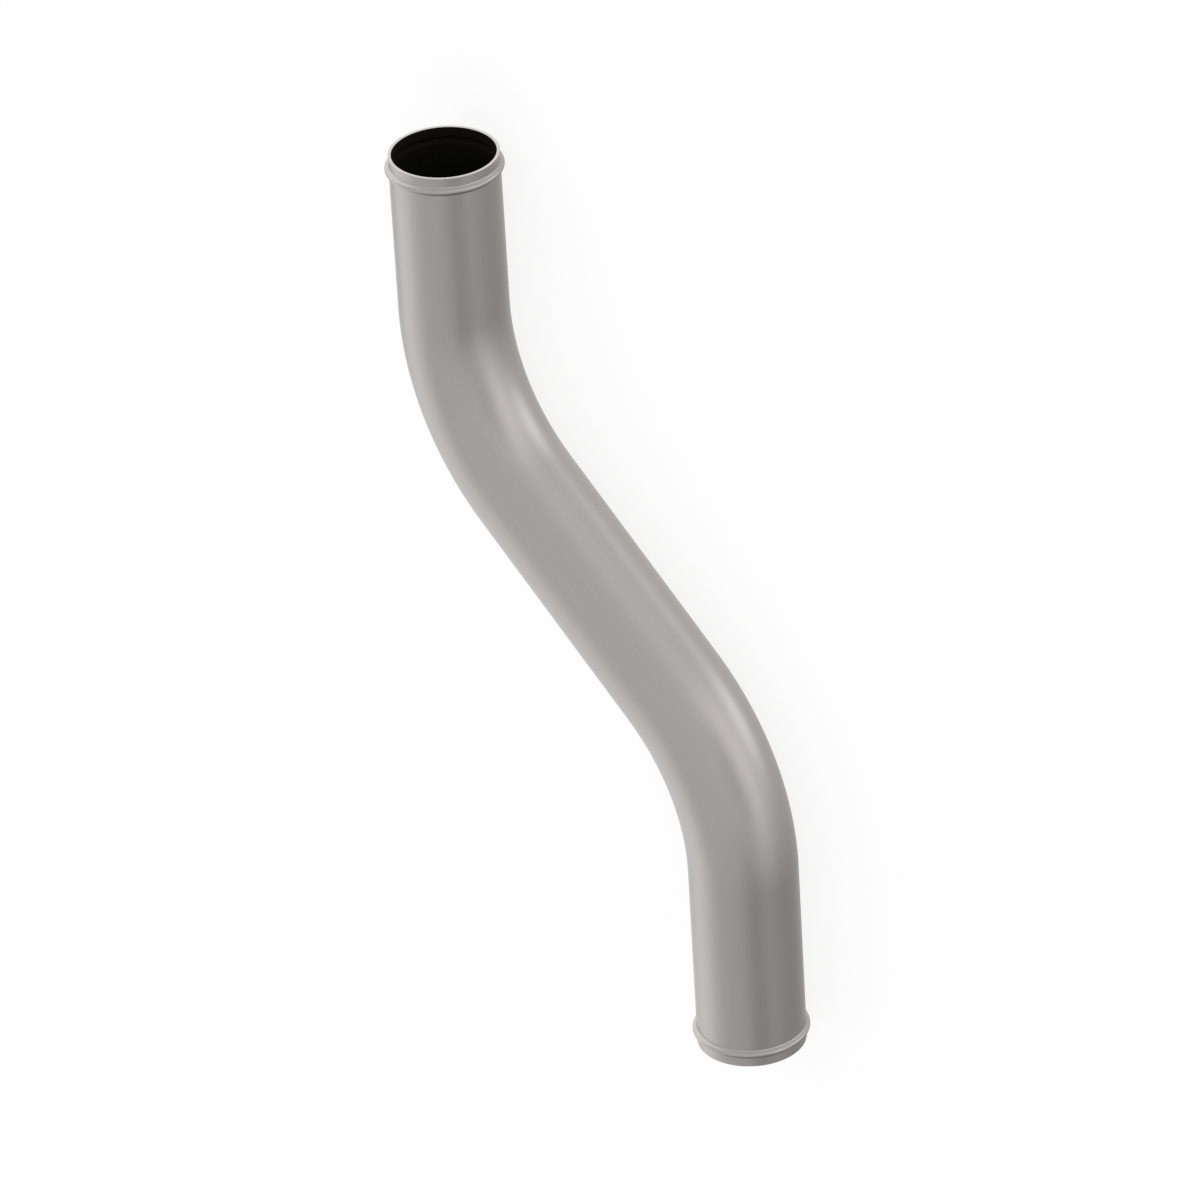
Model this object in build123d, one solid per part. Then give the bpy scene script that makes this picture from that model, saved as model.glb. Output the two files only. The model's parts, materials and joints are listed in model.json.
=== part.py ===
"""Charge air tube: one length of drawn round tube, bent twice in one plane into a shallow S.

The two end sections stay parallel. Each one carries a rolled bead close to its mouth, which keeps a
clamped hose from blowing off. The bead is pressed out of the wall itself, so the bore has a groove
behind it. The tube lies on its two beads with its bend plane level.

Frame: +X runs along the end sections, from the short leg's mouth to the long leg's mouth. +Y is the
way in which the long leg is offset. +Z is up. The origin is at the bottom centre of the whole tube.
All sizes are in millimetres and degrees.
"""

import os

from build123d import *

# Drawn tube
tube_outer_diameter = 70.0
wall_thickness = 2.0

# Route of the centreline, from one mouth to the other
short_leg_length = 108.0
long_leg_length = 127.0
middle_run_length = 155.0
bend_radius = 160.0
bend_angle = 47.0

# Rolled bead, as seen from outside. A higher fullness makes its foot or its crest broader and rounder
bead_from_mouth = 9.0
bead_height = 2.5
bead_width = 6.2
bead_foot_fullness = 1.05
bead_crest_fullness = 1.6

# Groove that rolling the bead leaves in the bore, a little wider than the bead and less deep
groove_lost_depth = 0.3
groove_extra_width = 0.2
groove_lip_fullness = 1.9
groove_floor_fullness = 0.8

# Broken edges of the square-cut mouth
mouth_outer_chamfer = 0.3
mouth_inner_chamfer = 0.4

outer_radius = tube_outer_diameter / 2
bore_radius = outer_radius - wall_thickness
groove_depth = bead_height - groove_lost_depth
groove_width = bead_width + groove_extra_width
axis_height = outer_radius + bead_height


def rolled_ring(base_radius: float, height: float, width: float, foot: float, crest: float) -> Edge:
    """The smooth outline of a ring rolled into the wall, from its foot over its crest to its foot.

    X is the distance from the mouth and Y the distance from the tube's axis. The curve runs level at
    its crest and at both feet, where it joins the straight wall.
    """
    return Spline(
        (bead_from_mouth - width / 2, base_radius),
        (bead_from_mouth, base_radius + height),
        (bead_from_mouth + width / 2, base_radius),
        tangents=[(1, 0), (1, 0), (1, 0)],
        tangent_scalars=[foot, crest, foot],
    )


def leg(length: float) -> Part:
    """An end section turned about X, with its mouth at the origin and its plain end at X = length."""
    bead = rolled_ring(outer_radius, bead_height, bead_width, bead_foot_fullness, bead_crest_fullness)
    groove = rolled_ring(
        bore_radius, groove_depth, groove_width, groove_lip_fullness, groove_floor_fullness
    )
    outside_before_bead = Polyline(
        (0, outer_radius - mouth_outer_chamfer), (mouth_outer_chamfer, outer_radius), bead @ 0
    )
    plain_end = Polyline(bead @ 1, (length, outer_radius), (length, bore_radius), groove @ 1)
    bore_before_groove = Polyline(
        groove @ 0, (mouth_inner_chamfer, bore_radius), (0, bore_radius + mouth_inner_chamfer)
    )
    mouth_face = Line(bore_before_groove @ 1, outside_before_bead @ 0)
    outline = [outside_before_bead, bead, plain_end, groove, bore_before_groove, mouth_face]
    return revolve(make_face(outline), axis=Axis.X)


def wall_section(path: Edge) -> Sketch:
    """The tube's ring-shaped section, square to the path at its start."""
    square_to_path = Plane(origin=path @ 0, z_dir=path % 0)
    return square_to_path * (Circle(outer_radius) - Circle(bore_radius))


def half_run() -> Edge:
    """The centreline from the middle of the tube, at the origin, to the bend on its +X side."""
    return PolarLine((0, 0), middle_run_length / 2, bend_angle)


def middle_run() -> Part:
    """The straight run between the bends, with its middle at the origin."""
    return extrude(wall_section(half_run()), amount=middle_run_length / 2, both=True)


def bend_and_leg(leg_length: float) -> Part:
    """A bend and a leg, which carry on from the middle run's +X end to a mouth."""
    run = half_run()
    bend_arc = JernArc(run @ 1, run % 1, bend_radius, -bend_angle)
    turn_axis = Axis(bend_arc.arc_center, (bend_arc % 0).cross(bend_arc % 1))
    mouth_centre = (bend_arc @ 1) + Vector(leg_length, 0)
    bend = revolve(wall_section(bend_arc), axis=turn_axis, revolution_arc=bend_angle)
    return bend + Pos(mouth_centre) * Rot(0, 0, 180) * leg(leg_length)


def charge_air_tube() -> Part:
    """The whole tube. Its two ends are the same, turned half a turn, apart from the leg's length."""
    tube = middle_run() + bend_and_leg(long_leg_length)
    tube += Rot(0, 0, 180) * bend_and_leg(short_leg_length)
    middle_to_centre = (long_leg_length - short_leg_length) / 2
    return Pos(-middle_to_centre, 0, axis_height) * tube


os.makedirs("parts", exist_ok=True)
export_step(charge_air_tube(), "parts/charge_air_tube.step")
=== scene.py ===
"""Studio scene of the charge air tube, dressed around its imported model.

The tube is one length of drawn aluminium, bent twice in one level plane, with a bead rolled out of the
wall close to each mouth. It lies on its two beads. All lengths are in metres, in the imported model's
frame: +X runs along both legs, from the short one's mouth to the long one's, and +Y is the way in which
the long leg is offset.
"""

import json
import logging
import math
from dataclasses import dataclass, field
from enum import Enum
from functools import cached_property
from typing import Any

import bmesh
import bpy
from mathutils import Matrix, Quaternion, Vector
from mathutils.geometry import interpolate_bezier


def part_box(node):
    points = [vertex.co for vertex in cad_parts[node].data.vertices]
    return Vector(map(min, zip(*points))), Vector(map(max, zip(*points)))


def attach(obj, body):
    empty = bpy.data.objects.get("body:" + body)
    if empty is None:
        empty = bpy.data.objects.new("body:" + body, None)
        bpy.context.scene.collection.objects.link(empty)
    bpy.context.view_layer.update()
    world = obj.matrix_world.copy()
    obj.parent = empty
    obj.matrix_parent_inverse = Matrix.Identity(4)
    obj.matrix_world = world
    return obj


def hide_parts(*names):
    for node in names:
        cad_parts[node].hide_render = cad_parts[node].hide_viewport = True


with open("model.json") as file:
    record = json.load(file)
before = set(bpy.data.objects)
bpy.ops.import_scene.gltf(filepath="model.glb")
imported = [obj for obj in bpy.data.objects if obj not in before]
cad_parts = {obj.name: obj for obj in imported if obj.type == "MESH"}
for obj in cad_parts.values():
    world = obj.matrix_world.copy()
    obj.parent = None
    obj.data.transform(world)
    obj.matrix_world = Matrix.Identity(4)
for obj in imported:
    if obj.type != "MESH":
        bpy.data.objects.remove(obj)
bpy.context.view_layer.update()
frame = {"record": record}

MM = 0.001
CLOSE = 0.01 * MM  # Points nearer than this to each other are in the same place
TUBE_NODE = "charge_air_tube"
STRAIGHTENED = "straightened"
UP = Vector((0, 0, 1))

log = logging.getLogger("charge_air_tube")


class Skin(Enum):
    """The two sides of the tube's wall. The value is the index of the side's material slot."""

    OUTSIDE = 0
    BORE = 1


class LegEnd(Enum):
    """The two hose ends. The value is the name of the end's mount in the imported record."""

    SHORT = "short_leg_hose_end"
    LONG = "long_leg_hose_end"


def linear(hex_colour: str) -> tuple[float, float, float, float]:
    """Turns an sRGB colour into the linear one that shaders take.

    Args:
        hex_colour: The colour as written, such as "#A6A29F".

    Returns:
        Red, green, blue and an alpha of 1.
    """
    channels = [int(hex_colour[i : i + 2], 16) / 255 for i in (1, 3, 5)]
    red, green, blue = (c / 12.92 if c <= 0.04045 else ((c + 0.055) / 1.055) ** 2.4 for c in channels)
    return red, green, blue, 1.0


def add_node(
    tree: bpy.types.NodeTree,
    kind: str,
    settings: dict[str, Any] | None = None,
    inputs: dict[str | int, Any] | None = None,
) -> bpy.types.Node:
    """Adds a node with its settings, values and links.

    Args:
        tree: The node tree that takes the node.
        kind: The node's type, such as "ShaderNodeMath".
        settings: Properties of the node and their values.
        inputs: Sockets by name or number, each with a value or with the output socket to link from.

    Returns:
        The new node.
    """
    node = tree.nodes.new(kind)
    for name, value in (settings or {}).items():
        setattr(node, name, value)
    for socket, value in (inputs or {}).items():
        if isinstance(value, bpy.types.NodeSocket):
            tree.links.new(value, node.inputs[socket])
        else:
            node.inputs[socket].default_value = value
    return node


def mount(end: LegEnd) -> dict[str, Any]:
    """Finds a hose end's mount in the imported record.

    Args:
        end: Which of the two ends.

    Returns:
        The mount's entry.
    """
    return next(m for m in frame["record"]["mounts"] if m["name"] == end.value)


@dataclass
class RolledRing:
    """The outline of a ring rolled into the wall: level at both feet and at its crest.

    A higher fullness makes its feet or its crest broader and rounder.
    """

    height: float
    width: float
    foot_fullness: float
    crest_fullness: float
    steps: int = 14

    def outline(self, middle: float, radius: float) -> list[Vector]:
        """Gives the ring's points, foot to foot.

        Args:
            middle: The crest's distance from the mouth.
            radius: The radius of the plain wall that the ring rises from.

        Returns:
            Points with the distance from the mouth in x and the distance from the axis in z.
        """
        foot = Vector((middle - self.width / 2, 0, radius))
        crest = Vector((middle, 0, radius + self.height))
        third = Vector(((crest - foot).length / 3, 0, 0))
        level_foot, level_crest = foot + self.foot_fullness * third, crest - self.crest_fullness * third
        rise = interpolate_bezier(foot, level_foot, level_crest, crest, self.steps)
        fall = [Vector((2 * middle - p.x, 0, p.z)) for p in reversed(rise[:-1])]
        return rise + fall


@dataclass
class HoseEnd:
    """A leg's open end, turned about the leg's axis: the mouth, a plain land, the bead and its groove.

    It reaches as far as its length, and the leg's plain wall carries on from there. The support is how
    close the extra rings of points lie that keep flat faces flat beside rounded ones.
    """

    outer_radius: float
    wall: float = 2 * MM
    length: float = 22 * MM
    bead_from_mouth: float = 9 * MM
    bead: RolledRing = field(default_factory=lambda: RolledRing(2.5 * MM, 6.2 * MM, 1.05, 1.6))
    groove: RolledRing = field(default_factory=lambda: RolledRing(2.2 * MM, 6.4 * MM, 1.9, 0.8))
    outer_edge_break: float = 0.2 * MM
    inner_edge_break: float = 0.2 * MM
    support: float = 0.15 * MM
    edge_segments: int = 3
    sides: int = 160

    @property
    def bore_radius(self) -> float:
        """The plain bore's radius."""
        return self.outer_radius - self.wall

    def section(self) -> list[Vector]:
        """Draws the wall's section from the plain outside, round the mouth, to the plain bore.

        Returns:
            Points with the distance from the mouth in x and the distance from the axis in z.
        """
        outside = self._wall_line(self.bead, self.outer_radius, self.outer_edge_break)
        bore = self._wall_line(self.groove, self.bore_radius, self.inner_edge_break)
        return outside[::-1] + bore

    def _wall_line(self, ring: RolledRing, radius: float, edge_break: float) -> list[Vector]:
        """Draws one side of the wall, from the mouth inwards.

        Points close to each foot and to the broken edge keep the plain wall's shading straight there.

        Args:
            ring: The bead or the groove.
            radius: The radius of the plain wall.
            edge_break: How far the mouth's broken edge will reach.

        Returns:
            Points with the distance from the mouth in x and the distance from the axis in z.
        """
        half_ring = ring.width / 2 + self.support
        near_foot, far_foot = self.bead_from_mouth - half_ring, self.bead_from_mouth + half_ring
        line = [Vector((x, 0, radius)) for x in (0, edge_break + self.support, near_foot)]
        line += ring.outline(self.bead_from_mouth, radius)
        line += [Vector((x, 0, radius)) for x in (far_foot, self.length)]
        return line

    def add_to(self, bm: bmesh.types.BMesh, place: Matrix) -> list[bmesh.types.BMEdge]:
        """Turns the end in the mesh and puts it on its leg.

        Args:
            bm: The mesh under construction.
            place: Takes the mouth from the origin to its place, and the way in from +X to the leg's way.

        Returns:
            The open edges of the outside and the bore, where the leg goes on.
        """
        older = set(bm.verts)
        points = [bm.verts.new(p) for p in self.section()]
        line = [bm.edges.new(pair) for pair in zip(points, points[1:])]
        bmesh.ops.spin(
            bm, geom=points + line, cent=(0, 0, 0), axis=(1, 0, 0), dvec=(0, 0, 0),
            angle=2 * math.pi, steps=self.sides, use_merge=True, use_duplicate=False,
        )
        own = [v for v in bm.verts if v not in older]
        self._break_edge(bm, own, self.outer_radius, self.outer_edge_break)
        self._break_edge(bm, own, self.bore_radius, self.inner_edge_break)
        own = [v for v in bm.verts if v not in older]
        self._support_rim(bm, own)
        own = [v for v in bm.verts if v not in older]
        open_edges = {e for v in own for e in v.link_edges if e.is_boundary}
        bmesh.ops.transform(bm, matrix=place, verts=own)
        return list(open_edges)

    def _break_edge(
        self, bm: bmesh.types.BMesh, own: list[bmesh.types.BMVert], radius: float, width: float
    ) -> None:
        """Rounds the mouth's sharp circle of the given radius.

        Args:
            bm: The mesh under construction.
            own: The end's points that may lie on the circle.
            radius: The circle's radius.
            width: How far the rounding reaches on both faces.
        """
        on_circle = {
            v for v in own
            if v.is_valid and abs(v.co.x) < CLOSE and abs(v.co.yz.length - radius) < CLOSE
        }
        circle = {e for v in on_circle for e in v.link_edges if e.other_vert(v) in on_circle}
        bmesh.ops.bevel(
            bm, geom=list(circle), offset=width, offset_type="OFFSET", segments=self.edge_segments,
            profile=0.5, affect="EDGES", material=-1,
        )

    def _support_rim(self, bm: bmesh.types.BMesh, own: list[bmesh.types.BMVert]) -> None:
        """Insets the mouth's flat face, so that its shading stays flat up to the rounded edges.

        Args:
            bm: The mesh under construction.
            own: The end's points.
        """
        rim = {f for v in own for f in v.link_faces if all(abs(c.co.x) < CLOSE for c in f.verts)}
        bmesh.ops.inset_region(
            bm, faces=list(rim), thickness=self.support, depth=0, use_boundary=True,
            use_even_offset=True,
        )


@dataclass
class TubeRoute:
    """The centreline: short leg, bend to the left, middle run, equal bend to the right, long leg.

    The bend plane is level. The middle run and the long leg follow from where the mouths are.
    """

    short_mouth: Vector
    long_mouth: Vector
    short_leg: float = 108 * MM
    bend_radius: float = 160 * MM
    bend_angle: float = math.radians(47)

    @cached_property
    def along(self) -> Vector:
        """The legs' direction."""
        return Vector((1, 0, 0))

    @cached_property
    def middle_way(self) -> Vector:
        """The middle run's direction."""
        return Quaternion(UP, self.bend_angle) @ self.along

    @cached_property
    def middle_run(self) -> float:
        """The middle run's length, from the sideways offset between the legs."""
        offset = self.long_mouth.y - self.short_mouth.y
        in_bends = 2 * self.bend_radius * (1 - math.cos(self.bend_angle))
        return (offset - in_bends) / math.sin(self.bend_angle)

    @cached_property
    def bend_length(self) -> float:
        """The length of one bend's centreline."""
        return self.bend_radius * self.bend_angle

    @cached_property
    def long_leg(self) -> float:
        """The long leg's length, from the distance between the mouths along the legs."""
        reach = self.long_mouth.x - self.short_mouth.x
        in_bends = 2 * self.bend_radius * math.sin(self.bend_angle)
        return reach - self.short_leg - in_bends - self.middle_run * math.cos(self.bend_angle)

    @cached_property
    def length(self) -> float:
        """The whole centreline's length."""
        return self.short_leg + self.long_leg + self.middle_run + 2 * self.bend_length

    @cached_property
    def middle(self) -> Vector:
        """The centreline's middle, about which the two ends are half a turn apart."""
        return (self.first_centre + self.second_centre) / 2

    @cached_property
    def first_centre(self) -> Vector:
        """The centre that the short leg's bend turns about."""
        return self.short_mouth + self.along * self.short_leg + Vector((0, self.bend_radius, 0))

    @cached_property
    def second_centre(self) -> Vector:
        """The centre that the long leg's bend turns about."""
        return self.long_mouth - self.along * self.long_leg - Vector((0, self.bend_radius, 0))

    def straighten(self, point: Vector) -> Vector:
        """Says where a point of the wall would lie if the tube were unbent.

        Args:
            point: A point of the tube.

        Returns:
            The distance along the centreline from the short mouth, the offset to the left in the bend
            plane, and the height above the centreline.
        """
        height = point.z - self.short_mouth.z
        if (point - self.middle).dot(self.middle_way) > 0:
            turned, mouth = self._half_turn(point), self._half_turn(self.long_mouth)
            distance, left = self._straighten_first_half(turned, mouth, self.long_leg)
            return Vector((self.length - distance, -left, height))
        distance, left = self._straighten_first_half(point, self.short_mouth, self.short_leg)
        return Vector((distance, left, height))

    def _half_turn(self, point: Vector) -> Vector:
        """Gives the place of a point after half a turn about the upright line through the middle."""
        return Vector((2 * self.middle.x - point.x, 2 * self.middle.y - point.y, point.z))

    def _straighten_first_half(self, point: Vector, mouth: Vector, leg: float) -> tuple[float, float]:
        """Straightens a point that lies between a mouth and the tube's middle.

        Args:
            point: The point, in the frame where the leg runs along +X and bends to the left.
            mouth: The centre of the leg's mouth.
            leg: The leg's length.

        Returns:
            The distance from the mouth along the centreline, and the offset to the left.
        """
        bend_centre = mouth + self.along * leg + Vector((0, self.bend_radius, 0))
        if point.x <= bend_centre.x:
            return point.x - mouth.x, point.y - mouth.y
        arm = point - bend_centre
        angle = math.atan2(arm.x, -arm.y)
        if angle <= self.bend_angle:
            return leg + angle * self.bend_radius, self.bend_radius - arm.xy.length
        left_way = Vector((-self.middle_way.y, self.middle_way.x, 0))
        distance = leg + self.bend_length + arm.dot(self.middle_way)
        return distance, self.bend_radius + arm.dot(left_way)


@dataclass(frozen=True)
class DrawnAluminium:
    """Bare aluminium tube as it leaves the drawing die: a satin grey with faint lines along the tube.

    It gives the eye soft, broad reflections with no mirror image, a warm mid grey where it reflects the
    room, and lines that show only close up. A die's lines lie some hundredths of a millimetre apart, and
    the metal's grain is finer still. Both are too fine to show, so they are drawn coarser. The mottle is
    the uneven gloss that handling and cleaning leave.
    """

    colour: str = "#A6A29F"
    line_colour: str = "#A4A09D"
    roughness: float = 0.29
    line_roughness: float = 0.31
    line_spacing_mm: float = 1.4
    line_length_mm: float = 90.0
    line_depth_mm: float = 0.002
    line_detail: float = 3.0
    line_detail_weight: float = 0.6
    mottle_size_mm: float = 14.0
    mottle_detail: float = 2.0
    grain_size_mm: float = 0.9
    grain_depth_mm: float = 0.0015
    grain_detail: float = 1.0
    # Levels of the lines' noise that take the darker and the lighter colour
    tone_range: tuple[float, float] = (0.35, 0.65)
    # Levels of the lines' and the mottle's noise together that take the lower and the higher roughness
    gloss_range: tuple[float, float] = (0.7, 1.3)

    def material(self) -> bpy.types.Material:
        """Builds the material.

        Returns:
            The material, named for the metal and how it was made.
        """
        made = bpy.data.materials.new("drawn_aluminium_satin")
        made.use_nodes = True
        tree = made.node_tree
        shader = tree.nodes["Principled BSDF"]
        shader.inputs["Metallic"].default_value = 1.0
        place = add_node(tree, "ShaderNodeAttribute", {"attribute_name": STRAIGHTENED}).outputs["Vector"]
        across, along = 1 / (self.line_spacing_mm * MM), 1 / (self.line_length_mm * MM)
        stretched = add_node(
            tree, "ShaderNodeVectorMath", {"operation": "MULTIPLY"},
            {0: place, 1: (along, across, across)},
        )
        lines = add_node(
            tree, "ShaderNodeTexNoise", {},
            {"Vector": stretched.outputs[0], "Scale": 1.0, "Detail": self.line_detail,
             "Roughness": self.line_detail_weight},
        )
        mottle = add_node(
            tree, "ShaderNodeTexNoise", {},
            {"Vector": place, "Scale": 1 / (self.mottle_size_mm * MM), "Detail": self.mottle_detail},
        )
        grain = add_node(
            tree, "ShaderNodeTexNoise", {},
            {"Vector": place, "Scale": 1 / (self.grain_size_mm * MM), "Detail": self.grain_detail},
        )
        tone = add_node(
            tree, "ShaderNodeMapRange", {},
            {"Value": lines.outputs["Fac"],
             "From Min": self.tone_range[0], "From Max": self.tone_range[1]},
        )
        colour = add_node(
            tree, "ShaderNodeMix", {"data_type": "RGBA"},
            {0: tone.outputs[0], 6: linear(self.line_colour), 7: linear(self.colour)},
        )
        tree.links.new(colour.outputs[2], shader.inputs["Base Color"])
        gloss = add_node(
            tree, "ShaderNodeMath", {"operation": "ADD"},
            {0: mottle.outputs["Fac"], 1: lines.outputs["Fac"]},
        )
        roughness = add_node(
            tree, "ShaderNodeMapRange", {},
            {"Value": gloss.outputs[0], "From Min": self.gloss_range[0], "From Max": self.gloss_range[1],
             "To Min": self.roughness, "To Max": self.line_roughness},
        )
        tree.links.new(roughness.outputs[0], shader.inputs["Roughness"])
        line_bump = add_node(
            tree, "ShaderNodeBump", {},
            {"Height": lines.outputs["Fac"], "Distance": self.line_depth_mm * MM, "Strength": 1.0},
        )
        bump = add_node(
            tree, "ShaderNodeBump", {},
            {"Height": grain.outputs["Fac"], "Distance": self.grain_depth_mm * MM, "Strength": 1.0,
             "Normal": line_bump.outputs[0]},
        )
        tree.links.new(bump.outputs[0], shader.inputs["Normal"])
        return made


@dataclass(frozen=True)
class PaintedShadeBore:
    """Matt black finish on the bore, as painted shade: it stands in for the dark inside of the tube, so
    the mouth reads as a dark hole.
    """

    # Near-black colours that paint the shade inside the tube, with darker patches at random
    colour: str = "#171513"
    patch_colour: str = "#0F0E0D"
    patch_size_mm: float = 3.0
    patch_detail: float = 3.0
    roughness: float = 0.85
    specular_level: float = 0.08

    def material(self) -> bpy.types.Material:
        """Builds the material.

        Returns:
            The material, named for the painted shade on the bore.
        """
        made = bpy.data.materials.new("bore_black_painted_shade")
        made.use_nodes = True
        tree = made.node_tree
        shader = tree.nodes["Principled BSDF"]
        shader.inputs["Roughness"].default_value = self.roughness
        shader.inputs["Specular IOR Level"].default_value = self.specular_level
        place = add_node(tree, "ShaderNodeAttribute", {"attribute_name": STRAIGHTENED}).outputs["Vector"]
        patches = add_node(
            tree, "ShaderNodeTexNoise", {},
            {"Vector": place, "Scale": 1 / (self.patch_size_mm * MM), "Detail": self.patch_detail},
        )
        colour = add_node(
            tree, "ShaderNodeMix", {"data_type": "RGBA"},
            {0: patches.outputs["Fac"], 6: linear(self.patch_colour), 7: linear(self.colour)},
        )
        tree.links.new(colour.outputs[2], shader.inputs["Base Color"])
        return made


@dataclass
class ChargeAirTube:
    """The whole tube: two hose ends and the wall that runs between them along the route."""

    route: TubeRoute
    hose_end: HoseEnd
    run_step: float = 8 * MM
    bend_steps: int = 30

    def mesh(self) -> bpy.types.Mesh:
        """Builds the tube's wall as one closed mesh.

        Returns:
            The mesh, with its sides marked and its straightened places kept.
        """
        bm = bmesh.new()
        route, end = self.route, self.hose_end
        ring = end.add_to(bm, Matrix.Translation(route.short_mouth))
        ring = self._run_on(bm, ring, route.along, route.short_leg - end.length)
        ring = self._bend_on(bm, ring, route.first_centre, route.bend_angle)
        ring = self._run_on(bm, ring, route.middle_way, route.middle_run)
        ring = self._bend_on(bm, ring, route.second_centre, -route.bend_angle)
        self._run_on(bm, ring, route.along, route.long_leg - end.length)
        end.add_to(bm, Matrix.Translation(route.long_mouth) @ Matrix.Rotation(math.pi, 4, "Z"))
        bmesh.ops.remove_doubles(bm, verts=bm.verts, dist=CLOSE)
        bmesh.ops.recalc_face_normals(bm, faces=bm.faces)
        self._mark(bm)
        mesh = bpy.data.meshes.new("tube_wall")
        bm.to_mesh(mesh)
        bm.free()
        return mesh

    def _run_on(
        self, bm: bmesh.types.BMesh, ring: list[bmesh.types.BMEdge], way: Vector, length: float
    ) -> list[bmesh.types.BMEdge]:
        """Carries the wall straight on from its open edges.

        Args:
            bm: The mesh under construction.
            ring: The open edges of the outside and the bore.
            way: The direction of the run.
            length: The length of the run.

        Returns:
            The open edges at the run's far end.
        """
        steps = math.ceil(length / self.run_step)
        for _ in range(steps):
            grown = bmesh.ops.extrude_edge_only(bm, edges=ring)["geom"]
            points = [g for g in grown if isinstance(g, bmesh.types.BMVert)]
            bmesh.ops.translate(bm, verts=points, vec=way * (length / steps))
            ring = [g for g in grown if isinstance(g, bmesh.types.BMEdge) and g.is_boundary]
        return ring

    def _bend_on(
        self, bm: bmesh.types.BMesh, ring: list[bmesh.types.BMEdge], centre: Vector, angle: float
    ) -> list[bmesh.types.BMEdge]:
        """Carries the wall on round a bend.

        Args:
            bm: The mesh under construction.
            ring: The open edges of the outside and the bore.
            centre: The point that the bend turns about.
            angle: How far it turns, to the left if positive.

        Returns:
            The open edges at the bend's far end.
        """
        points = list({v for e in ring for v in e.verts})
        last = bmesh.ops.spin(
            bm, geom=points + ring, cent=centre, axis=UP, dvec=(0, 0, 0), angle=angle,
            steps=self.bend_steps, use_merge=False, use_duplicate=False,
        )["geom_last"]
        return [g for g in last if isinstance(g, bmesh.types.BMEdge) and g.is_boundary]

    def _mark(self, bm: bmesh.types.BMesh) -> None:
        """Marks each face as outside or bore, and keeps each point's straightened place.

        Args:
            bm: The closed mesh.
        """
        layer = bm.verts.layers.float_vector.new(STRAIGHTENED)
        for v in bm.verts:
            v[layer] = self.route.straighten(v.co)
        # The bore's near-black painted shade starts just inside the mouth's rounded inner edge
        painted_shade_from = self.hose_end.inner_edge_break - CLOSE
        for f in bm.faces:
            f.smooth = True
            places = [v[layer] for v in f.verts]
            from_mouth = min(min(p.x, self.route.length - p.x) for p in places)
            faces_in = f.normal.dot(self._radial(f.calc_center_median())) < 0
            side = Skin.BORE if faces_in and from_mouth >= painted_shade_from else Skin.OUTSIDE
            f.material_index = side.value

    def _radial(self, point: Vector) -> Vector:
        """Gives the way from the centreline straight out to a point.

        Args:
            point: A point of the wall.

        Returns:
            The unit vector.
        """
        straight = self.route.straighten(point)
        way = self._way_at(straight.x)
        left = Vector((-way.y, way.x, 0))
        return (left * straight.y + UP * straight.z).normalized()

    def _way_at(self, distance: float) -> Vector:
        """Gives the centreline's direction.

        Args:
            distance: The distance along the centreline from the short mouth.

        Returns:
            The unit vector.
        """
        route = self.route
        into_first = (distance - route.short_leg) / route.bend_length
        into_second = (route.length - route.long_leg - distance) / route.bend_length
        share = max(0.0, min(1.0, into_first, into_second))
        return Quaternion(UP, route.bend_angle * share) @ route.along

    def dress(self, outside: DrawnAluminium, bore: PaintedShadeBore) -> bpy.types.Object:
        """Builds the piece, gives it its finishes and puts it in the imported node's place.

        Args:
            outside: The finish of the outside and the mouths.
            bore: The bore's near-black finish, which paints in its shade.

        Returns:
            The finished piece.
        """
        piece = bpy.data.objects.new("tube_wall", self.mesh())
        bpy.context.scene.collection.objects.link(piece)
        piece.data.materials.append(outside.material())
        piece.data.materials.append(bore.material())
        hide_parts(TUBE_NODE)
        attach(piece, "root")
        log.info("%s: %d faces", piece.name, len(piece.data.polygons))
        return piece


@dataclass(frozen=True)
class SoftPatch:
    """A round patch in the room that the metal reflects: a lamp if brighter, a flag if darker.

    All angles are in degrees. Azimuth turns from +X towards +Y. The patch fades from its full strength
    at radius - fade, through half of it at its radius, to nothing at radius + fade.
    """

    azimuth: float
    elevation: float
    radius: float
    fade: float
    strength: float
    tint: str = "#FFFFFF"

    @property
    def way(self) -> Vector:
        """The direction in which the patch's middle lies."""
        azimuth, elevation = math.radians(self.azimuth), math.radians(self.elevation)
        level = math.cos(elevation)
        return Vector((level * math.cos(azimuth), level * math.sin(azimuth), math.sin(elevation)))

    @property
    def light(self) -> tuple[float, ...]:
        """The red, green and blue that the patch adds at full strength."""
        return tuple(self.strength * channel for channel in linear(self.tint)[:3])


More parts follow.
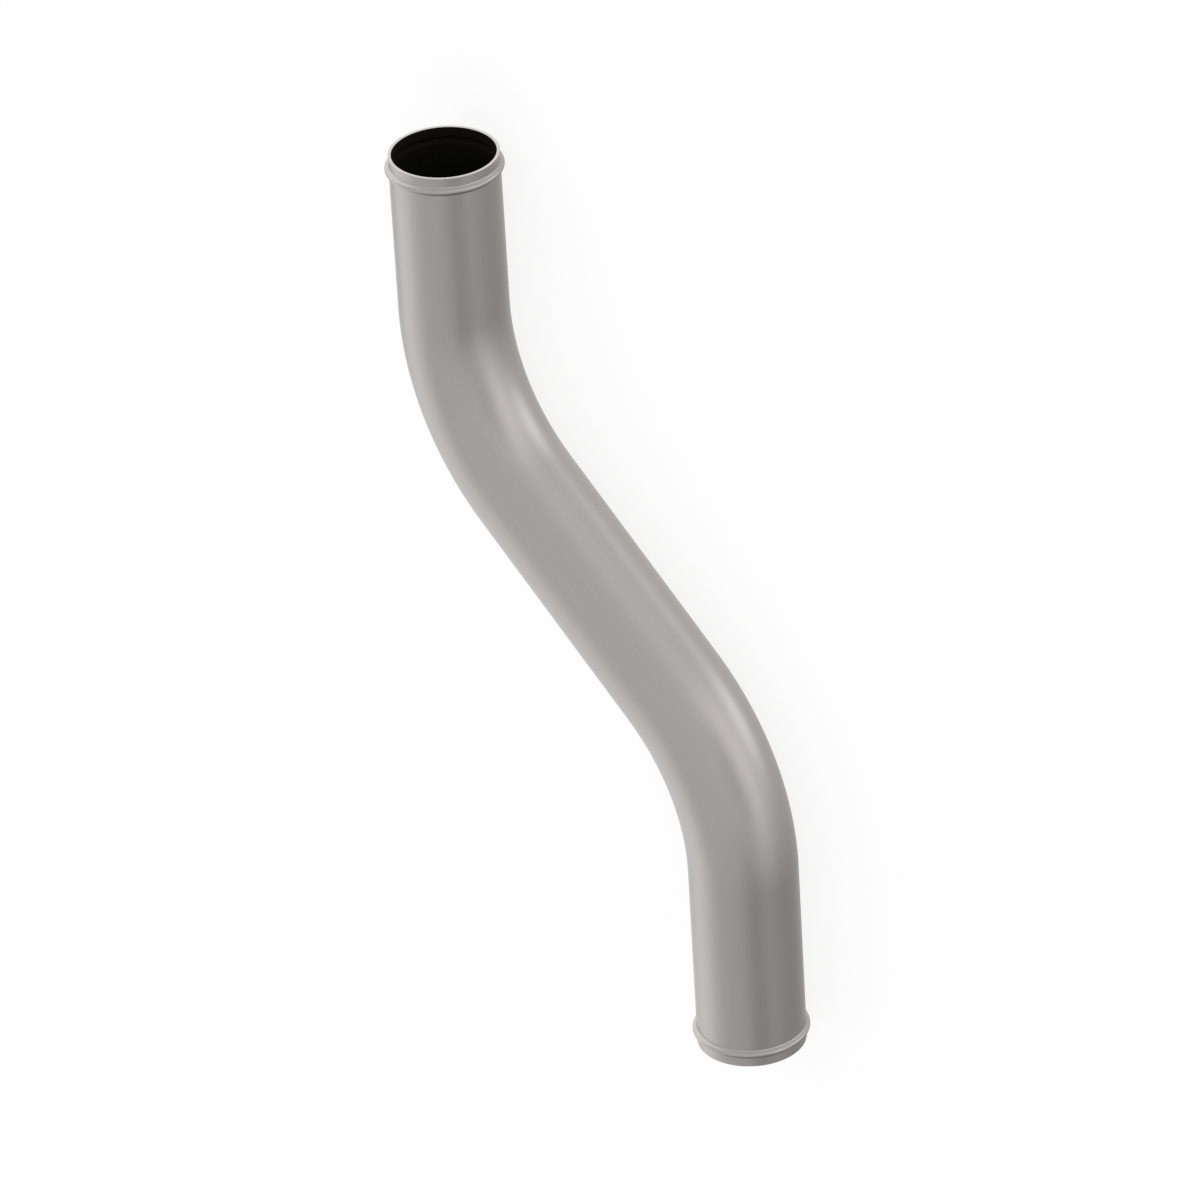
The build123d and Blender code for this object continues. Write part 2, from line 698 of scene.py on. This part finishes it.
@dataclass(frozen=True)
class Studio:
    """A plain white room with soft lamps and dark flags for the metal to reflect, on a pale floor.

    Left and right in the notes beside the patches are as the photo's camera sees the tube.
    """

    patches: tuple[SoftPatch, ...] = (
        # Lamps for the highlights inside the bends
        SoftPatch(117, -47, 12, 14, 1.14, "#F6FAFF"),
        SoftPatch(106, 3, 19, 37, 0.89),
        # Lamps for the light left side, the short mouth's rim and the right side of the middle run
        SoftPatch(-58, 7, 37, 21, 0.53, "#F8FAFF"),
        SoftPatch(-118, -13, 41, 4, 0.66, "#F9FCFF"),
        SoftPatch(-132, -40, 14, 12, 0.27, "#D8ECFF"),
        SoftPatch(171, -46, 20, 14, 0.1, "#A0D0FF"),
        # A flag for the legs' dark right side and the lines beside the beads, lifted for the lines alone
        SoftPatch(8, -10, 43, 45, -0.95, "#FFFEFC"),
        SoftPatch(10, -9, 27, 13, 0.28, "#FFF1E7"),
        # Flags beside the bends' highlights, for the legs' left limb and for the streak down the legs
        SoftPatch(100, 18, 16, 16, -0.64),
        SoftPatch(-76, -12, 16, 14, -0.88),
        SoftPatch(57, 27, 16, 10, -0.18),
    )
    room_level: float = 0.97
    floor_size: float = 8.0
    floor_glow: float = 0.85
    floor_gap: float = 0.02 * MM

    def build(self, low: Vector) -> None:
        """Makes the room and the floor.

        Args:
            low: The object's lowest corner, which the floor lies under.
        """
        self._world()
        self._floor(low.z)

    def _world(self) -> None:
        """Makes the room, plain white to the camera and to matt surfaces, with its patches to metal."""
        world = bpy.data.worlds.new("white_room")
        bpy.context.scene.world = world
        world.use_nodes = True
        world.cycles.sampling_method = "NONE"
        tree = world.node_tree
        way = add_node(tree, "ShaderNodeTexCoord").outputs["Generated"]
        light: tuple[float, ...] | bpy.types.NodeSocket = (self.room_level,) * 3
        for patch in self.patches:
            facing = add_node(
                tree, "ShaderNodeVectorMath", {"operation": "DOT_PRODUCT"}, {0: way, 1: patch.way}
            )
            off_middle = add_node(
                tree, "ShaderNodeMath", {"operation": "ARCCOSINE"}, {0: facing.outputs["Value"]}
            )
            share = add_node(
                tree, "ShaderNodeMapRange", {"interpolation_type": "SMOOTHSTEP"},
                {"Value": off_middle.outputs[0], "From Min": math.radians(patch.radius + patch.fade),
                 "From Max": math.radians(patch.radius - patch.fade)},
            )
            light = add_node(
                tree, "ShaderNodeVectorMath", {"operation": "MULTIPLY_ADD"},
                {0: share.outputs[0], 1: patch.light, 2: light},
            ).outputs[0]
        rays = add_node(tree, "ShaderNodeLightPath")
        plain = add_node(
            tree, "ShaderNodeMath", {"operation": "MAXIMUM"},
            {0: rays.outputs["Is Camera Ray"], 1: rays.outputs["Is Diffuse Ray"]},
        )
        colour = add_node(
            tree, "ShaderNodeMix", {"data_type": "RGBA"},
            {0: plain.outputs[0], 6: light, 7: linear("#FFFFFF")},
        )
        tree.links.new(colour.outputs[2], tree.nodes["Background"].inputs["Color"])
        tree.nodes["Background"].inputs["Strength"].default_value = 1.0

    def _floor(self, height: float) -> None:
        """Makes the floor. It keeps the object's shadow, and is clear from below and to the metal.

        Args:
            height: The level that the object stands on.
        """
        bm = bmesh.new()
        bmesh.ops.create_grid(bm, x_segments=1, y_segments=1, size=self.floor_size / 2)
        bmesh.ops.translate(bm, verts=bm.verts, vec=(0, 0, height - self.floor_gap))
        mesh = bpy.data.meshes.new("floor")
        bm.to_mesh(mesh)
        bm.free()
        floor = bpy.data.objects.new("floor", mesh)
        bpy.context.scene.collection.objects.link(floor)
        mesh.materials.append(self._floor_material())
        floor.visible_glossy = False

    def _floor_material(self) -> bpy.types.Material:
        """Builds the floor's material, white paper that glows so that it reads white round the shadow.

        Returns:
            The material.
        """
        made = bpy.data.materials.new("white_paper_floor")
        made.use_nodes = True
        tree = made.node_tree
        tree.nodes.remove(tree.nodes["Principled BSDF"])
        white = linear("#FFFFFF")
        glow = add_node(tree, "ShaderNodeEmission", {}, {"Color": white, "Strength": 1.0})
        paper = add_node(tree, "ShaderNodeBsdfDiffuse", {}, {"Color": white})
        lit = add_node(
            tree, "ShaderNodeMixShader", {},
            {0: 1 - self.floor_glow, 1: glow.outputs[0], 2: paper.outputs[0]},
        )
        below = add_node(tree, "ShaderNodeNewGeometry").outputs["Backfacing"]
        clear = add_node(tree, "ShaderNodeBsdfTransparent")
        shown = add_node(
            tree, "ShaderNodeMixShader", {}, {0: below, 1: lit.outputs[0], 2: clear.outputs[0]}
        )
        tree.links.new(shown.outputs[0], tree.nodes["Material Output"].inputs["Surface"])
        return made


@dataclass(frozen=True)
class PhotoCamera:
    """The camera that took the photograph: far off, with a long lens, looking down and rolled."""

    azimuth: float = -138.102
    elevation: float = 39.737
    roll: float = -123.282
    distance: float = 6.4389
    lens_mm: float = 306.96

    def build(self, low: Vector, high: Vector) -> None:
        """Makes the camera and looks through it.

        Args:
            low: The object's lowest corner.
            high: The object's highest corner.
        """
        data = bpy.data.cameras.new("photo_camera")
        data.lens = self.lens_mm
        camera = bpy.data.objects.new("photo_camera", data)
        bpy.context.scene.collection.objects.link(camera)
        around = Matrix.Rotation(math.radians(self.azimuth), 4, "Z")
        over = Matrix.Rotation(math.radians(90 - self.elevation), 4, "X")
        rolled = Matrix.Rotation(math.radians(self.roll), 4, "Z")
        turn = around @ over @ rolled
        back = turn.to_3x3() @ UP
        camera.matrix_world = Matrix.Translation((low + high) / 2 + back * self.distance) @ turn
        bpy.context.scene.camera = camera


def main() -> None:
    """Builds the tube, its room and its camera in order."""
    logging.basicConfig(level=logging.INFO, format="%(name)s: %(message)s")
    bpy.context.scene.view_settings.view_transform = "Standard"
    low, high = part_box(TUBE_NODE)
    short, long = mount(LegEnd.SHORT), mount(LegEnd.LONG)
    short_mouth = Vector((low.x, *short["pos_m"][1:]))
    long_mouth = Vector((high.x, *long["pos_m"][1:]))
    route = TubeRoute(short_mouth, long_mouth)
    log.info("middle run %.1f mm, long leg %.1f mm", route.middle_run / MM, route.long_leg / MM)
    tube = ChargeAirTube(route, HoseEnd(short["dims"]["r_mm"] * MM))
    tube.dress(DrawnAluminium(), PaintedShadeBore())
    Studio().build(low)
    PhotoCamera().build(low, high)


if __name__ == "__main__":
    main()
